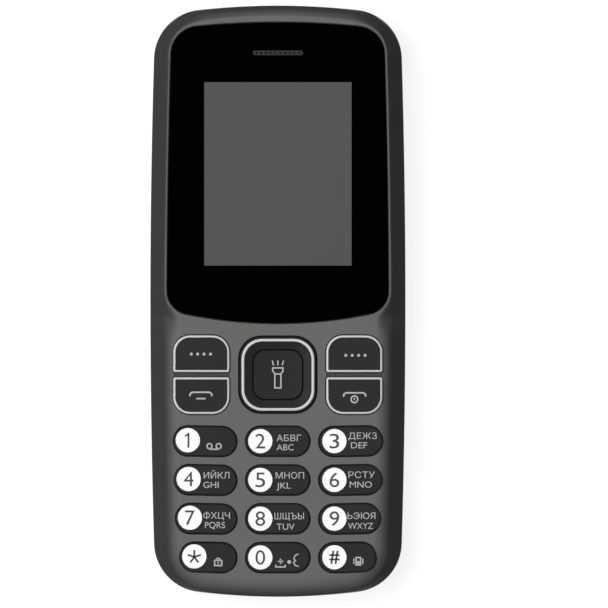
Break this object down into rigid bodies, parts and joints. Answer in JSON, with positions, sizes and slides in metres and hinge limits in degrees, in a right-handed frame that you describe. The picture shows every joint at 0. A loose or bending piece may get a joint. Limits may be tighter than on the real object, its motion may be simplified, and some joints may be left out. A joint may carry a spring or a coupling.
{
  "type": "feature phone",
  "caption": "Bar phone with a small screen under a black window, soft keys, a rocking navigation ring, capsule number keys and a removable back.",
  "frame": {"origin": "on the back face, under the middle of the body", "axes": "+X across to the right as the screen is read, +Y along to the earpiece, +Z out of the screen"},
  "size_m": [0.0486, 0.1126, 0.0141],
  "materials": {
    "front_plastic": "fine satin moulded grey",
    "back_plastic": "fine-grained moulded black",
    "chassis_plastic": "plain moulded black",
    "display_window": "polished, printed black behind",
    "clear_window": "clear",
    "key_plastic": "smooth dark satin",
    "nav_plastic": "smooth black",
    "clear_silicone": "milky translucent",
    "black_rubber": "soft black",
    "black_foam": "closed foam",
    "speaker_cloth": "fine woven mesh",
    "display_glass": "polarised, unlit",
    "display_tray": "thin sheet",
    "flex_film": "amber film",
    "white_film": "thin film",
    "dome_steel": "bright",
    "board_green": "solder mask",
    "chip_black": "moulded, lightly rough",
    "light_yellow": "phosphor",
    "shield_steel": "tinned",
    "socket_steel": "stainless",
    "contact_gold": "gold plated",
    "connector_plastic": "moulded",
    "battery_wrap": "plain label film",
    "motor_steel": "drawn can",
    "tungsten": "sintered",
    "screw_steel": "black zinc",
    "antenna_metal": "gold flash"
  },
  "bodies": {
    "root": {"front_cover": "front_plastic", "rear_housing": "chassis_plastic", "display_lens": "display_window", "lens_tape": "black_foam", "earpiece_mesh": "socket_steel", "torch_lens": "clear_window", "lcd_panel": "display_glass", "lcd_backlight": "display_tray", "lcd_gasket": "black_foam", "lcd_flex": "flex_film", "keypad_mat": "clear_silicone", "dome_sheet": "white_film", "metal_domes": "dome_steel", "key_lights": "light_yellow", "main_board": "board_green", "shield_can": "shield_steel", "board_chips": "chip_black", "sim_sockets": "socket_steel", "memory_card_socket": "socket_steel", "battery_connector": "connector_plastic", "battery_contacts": "contact_gold", "battery": "battery_wrap", "usb_socket": "socket_steel", "headphone_jack": "connector_plastic", "microphone": "shield_steel", "microphone_boot": "black_rubber", "vibration_motor": "motor_steel", "loudspeaker": "chip_black", "loudspeaker_mesh": "speaker_cloth", "camera_module": "chip_black", "earpiece_receiver": "chip_black", "torch_led": "light_yellow", "antenna": "antenna_metal", "housing_screws": "screw_steel"},
    "soft_key_left": {"soft_key_left": "key_plastic"},
    "soft_key_right": {"soft_key_right": "key_plastic"},
    "call_key": {"call_key": "key_plastic"},
    "end_key": {"end_key": "key_plastic"},
    "key_1": {"key_1": "key_plastic"},
    "key_2": {"key_2": "key_plastic"},
    "key_3": {"key_3": "key_plastic"},
    "key_4": {"key_4": "key_plastic"},
    "key_5": {"key_5": "key_plastic"},
    "key_6": {"key_6": "key_plastic"},
    "key_7": {"key_7": "key_plastic"},
    "key_8": {"key_8": "key_plastic"},
    "key_9": {"key_9": "key_plastic"},
    "key_star": {"key_star": "key_plastic"},
    "key_0": {"key_0": "key_plastic"},
    "key_hash": {"key_hash": "key_plastic"},
    "ok_key": {"ok_key": "nav_plastic"},
    "nav_pad": {"nav_rocker_pad": "connector_plastic"},
    "nav_ring": {"nav_ring_key": "nav_plastic"},
    "back_cover": {"battery_cover": "back_plastic", "camera_window": "clear_window"},
    "vibrator": {"motor_weight": "tungsten"}
  },
  "joints": [
    {"name": "soft_key_left_press", "type": "slide", "parent": "root", "child": "soft_key_left", "axis": [0, 0, -1], "range_m": [0, 0.00035], "stiffness_N_per_m": 2000, "deforming": ["keypad_mat"]},
    {"name": "soft_key_right_press", "type": "slide", "parent": "root", "child": "soft_key_right", "axis": [0, 0, -1], "range_m": [0, 0.00035], "stiffness_N_per_m": 2000, "deforming": ["keypad_mat"]},
    {"name": "call_key_press", "type": "slide", "parent": "root", "child": "call_key", "axis": [0, 0, -1], "range_m": [0, 0.00035], "stiffness_N_per_m": 2000, "deforming": ["keypad_mat"]},
    {"name": "end_key_press", "type": "slide", "parent": "root", "child": "end_key", "axis": [0, 0, -1], "range_m": [0, 0.00035], "stiffness_N_per_m": 2000, "deforming": ["keypad_mat"]},
    {"name": "key_1_press", "type": "slide", "parent": "root", "child": "key_1", "axis": [0, 0, -1], "range_m": [0, 0.00035], "stiffness_N_per_m": 2000, "deforming": ["keypad_mat"]},
    {"name": "key_2_press", "type": "slide", "parent": "root", "child": "key_2", "axis": [0, 0, -1], "range_m": [0, 0.00035], "stiffness_N_per_m": 2000, "deforming": ["keypad_mat"]},
    {"name": "key_3_press", "type": "slide", "parent": "root", "child": "key_3", "axis": [0, 0, -1], "range_m": [0, 0.00035], "stiffness_N_per_m": 2000, "deforming": ["keypad_mat"]},
    {"name": "key_4_press", "type": "slide", "parent": "root", "child": "key_4", "axis": [0, 0, -1], "range_m": [0, 0.00035], "stiffness_N_per_m": 2000, "deforming": ["keypad_mat"]},
    {"name": "key_5_press", "type": "slide", "parent": "root", "child": "key_5", "axis": [0, 0, -1], "range_m": [0, 0.00035], "stiffness_N_per_m": 2000, "deforming": ["keypad_mat"]},
    {"name": "key_6_press", "type": "slide", "parent": "root", "child": "key_6", "axis": [0, 0, -1], "range_m": [0, 0.00035], "stiffness_N_per_m": 2000, "deforming": ["keypad_mat"]},
    {"name": "key_7_press", "type": "slide", "parent": "root", "child": "key_7", "axis": [0, 0, -1], "range_m": [0, 0.00035], "stiffness_N_per_m": 2000, "deforming": ["keypad_mat"]},
    {"name": "key_8_press", "type": "slide", "parent": "root", "child": "key_8", "axis": [0, 0, -1], "range_m": [0, 0.00035], "stiffness_N_per_m": 2000, "deforming": ["keypad_mat"]},
    {"name": "key_9_press", "type": "slide", "parent": "root", "child": "key_9", "axis": [0, 0, -1], "range_m": [0, 0.00035], "stiffness_N_per_m": 2000, "deforming": ["keypad_mat"]},
    {"name": "key_star_press", "type": "slide", "parent": "root", "child": "key_star", "axis": [0, 0, -1], "range_m": [0, 0.00035], "stiffness_N_per_m": 2000, "deforming": ["keypad_mat"]},
    {"name": "key_0_press", "type": "slide", "parent": "root", "child": "key_0", "axis": [0, 0, -1], "range_m": [0, 0.00035], "stiffness_N_per_m": 2000, "deforming": ["keypad_mat"]},
    {"name": "key_hash_press", "type": "slide", "parent": "root", "child": "key_hash", "axis": [0, 0, -1], "range_m": [0, 0.00035], "stiffness_N_per_m": 2000, "deforming": ["keypad_mat"]},
    {"name": "ok_key_press", "type": "slide", "parent": "root", "child": "ok_key", "axis": [0, 0, -1], "range_m": [0, 0.00035], "stiffness_N_per_m": 2000, "deforming": ["keypad_mat"]},
    {"name": "nav_up_down", "type": "hinge", "parent": "root", "child": "nav_pad", "pos_m": [0, -0.01399, 0.011], "axis": [1, 0, 0], "range_deg": [-1.5, 1.5], "stiffness_Nm_per_rad": 0.2, "deforming": ["keypad_mat"]},
    {"name": "nav_left_right", "type": "hinge", "parent": "nav_pad", "child": "nav_ring", "pos_m": [0, -0.01399, 0.0114], "axis": [0, 1, 0], "range_deg": [-1.5, 1.5], "stiffness_Nm_per_rad": 0.2, "deforming": ["keypad_mat"]},
    {"name": "back_cover_off", "type": "slide", "parent": "root", "child": "back_cover", "axis": [0, 0, -1], "range_m": [0, 0.02]},
    {"name": "vibrator_spin", "type": "hinge", "parent": "root", "child": "vibrator", "pos_m": [-0.006, -0.047, 0.0061], "axis": [1, 0, 0], "continuous": true}
  ]
}
